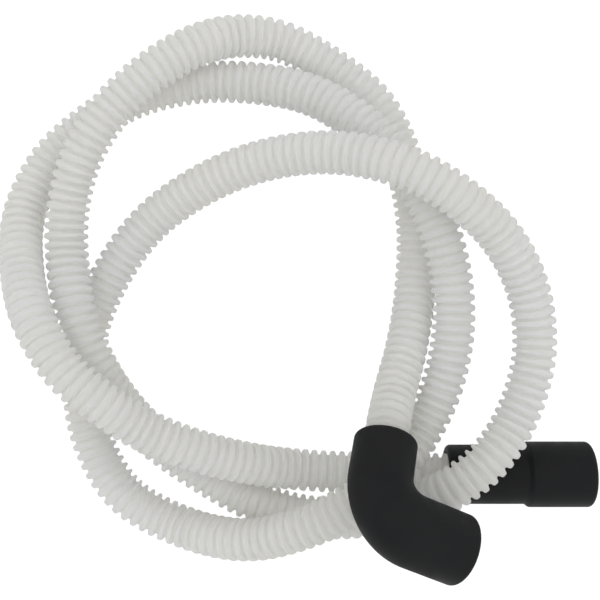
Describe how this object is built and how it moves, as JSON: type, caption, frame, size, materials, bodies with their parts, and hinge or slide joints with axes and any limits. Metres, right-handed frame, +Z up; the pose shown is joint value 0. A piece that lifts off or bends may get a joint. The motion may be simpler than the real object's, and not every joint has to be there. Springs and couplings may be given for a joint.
{
  "type": "drain hose",
  "caption": "Corrugated drain hose lying in loose loops, with a straight rubber cuff on one end and a right-angle rubber elbow cuff on the other.",
  "frame": {"origin": "on the floor that the hose lies on, under the middle of the two cuffs' common box", "axes": "+X along the straight cuff, out of its wide mouth; +Y towards the loops of the hose; +Z up"},
  "size_m": [0.3081, 0.2823, 0.0939],
  "materials": {
    "hose": "satin, milky and slightly see-through",
    "rubber": "matte moulded black"
  },
  "bodies": {
    "root": {"hose": "hose", "straight_cuff": "rubber", "elbow_cuff": "rubber"}
  },
  "joints": []
}
